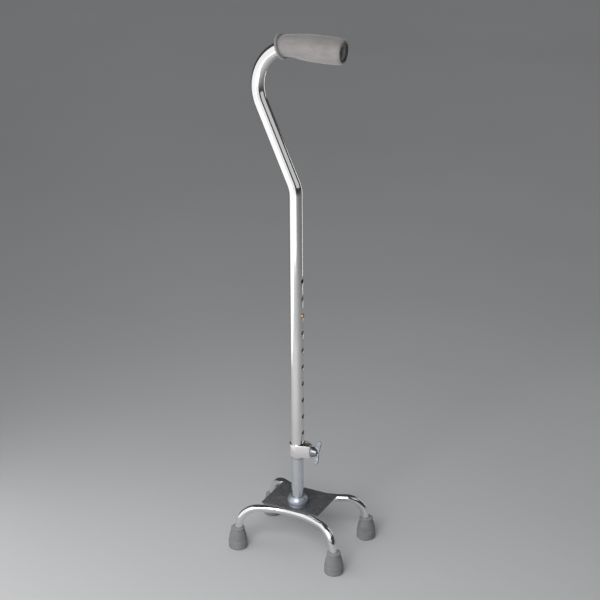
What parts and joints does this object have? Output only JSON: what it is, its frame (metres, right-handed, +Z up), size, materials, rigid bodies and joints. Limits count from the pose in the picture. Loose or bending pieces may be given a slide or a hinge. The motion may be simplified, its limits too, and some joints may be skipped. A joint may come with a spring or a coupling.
{
  "type": "quad walking cane",
  "caption": "Height-adjustable quad cane: swan-neck tube with a horizontal foam grip, clamp and push button, on a low plate with splayed tubular legs and rubber tips.",
  "frame": {"origin": "on the floor, midway between the four feet", "axes": "+Z up along the stem, +X the way the grip points, the stem nearer the -Y feet"},
  "size_m": [0.18, 0.133, 0.7577],
  "materials": {
    "plate_enamel": "hammered charcoal enamel",
    "socket_enamel": "satin blue-grey coating",
    "zinc_fastener": "zinc plated",
    "plug_alloy": "turned",
    "lower_tube_alloy": "satin anodised",
    "leg_chrome": "polished",
    "weld_steel": "as welded, plated over",
    "tip_rubber": "moulded mid grey",
    "bushing_nylon": "moulded",
    "spring_steel": "blued spring steel",
    "button_brass": "satin",
    "strap_nickel": "bright nickel plate",
    "pad_nylon": "moulded",
    "wing_zinc": "cast zinc, tumbled",
    "tube_chrome": "polished",
    "grip_vinyl": "fine-grained soft grip",
    "plug_plastic": "moulded"
  },
  "bodies": {
    "base": {"base_plate": "plate_enamel", "stem_socket": "socket_enamel", "stem_bolt": "zinc_fastener", "stem_lock_washer": "zinc_fastener", "stem_plug": "plug_alloy", "lower_tube": "lower_tube_alloy", "front_leg_tube": "leg_chrome", "rear_leg_tube": "leg_chrome", "leg_welds": "weld_steel", "tip_front_left": "tip_rubber", "tip_front_right": "tip_rubber", "tip_rear_left": "tip_rubber", "tip_rear_right": "tip_rubber", "tip_washers": "zinc_fastener", "guide_bushing": "bushing_nylon", "snap_spring": "spring_steel"},
    "button": {"snap_button": "button_brass"},
    "clamp": {"clamp_strap": "strap_nickel", "clamp_nut": "zinc_fastener"},
    "pressure_pad": {"pressure_pad": "pad_nylon"},
    "wing_screw": {"wing_screw": "wing_zinc"},
    "handle": {"upper_tube": "tube_chrome", "handgrip": "grip_vinyl", "tube_end_plug": "plug_plastic"}
  },
  "joints": [
    {"name": "button_press", "type": "slide", "parent": "base", "child": "button", "axis": [-1, 0, 0], "range_m": [0, 0.0034], "stiffness_N_per_m": 1500},
    {"name": "height_slide", "type": "slide", "parent": "base", "child": "clamp", "axis": [0, 0, 1], "range_m": [-0.0508, 0.1778], "deforming": ["snap_spring", "snap_button"]},
    {"name": "handle_swivel", "type": "hinge", "parent": "clamp", "child": "handle", "pos_m": [0.0025, -0.0182, 0.16], "axis": [0, 0, 1], "continuous": true},
    {"name": "pad_slide", "type": "slide", "parent": "clamp", "child": "pressure_pad", "axis": [1, 0, 0], "range_m": [0, 0.003]},
    {"name": "wing_turn", "type": "hinge", "parent": "pressure_pad", "child": "wing_screw", "pos_m": [0.0025, -0.0182, 0.162], "axis": [1, 0, 0], "range_deg": [0, 1080]}
  ],
  "couplings": [
    {"joint": "wing_turn", "follows": "pad_slide", "rad_per_m": 6283.2}
  ]
}
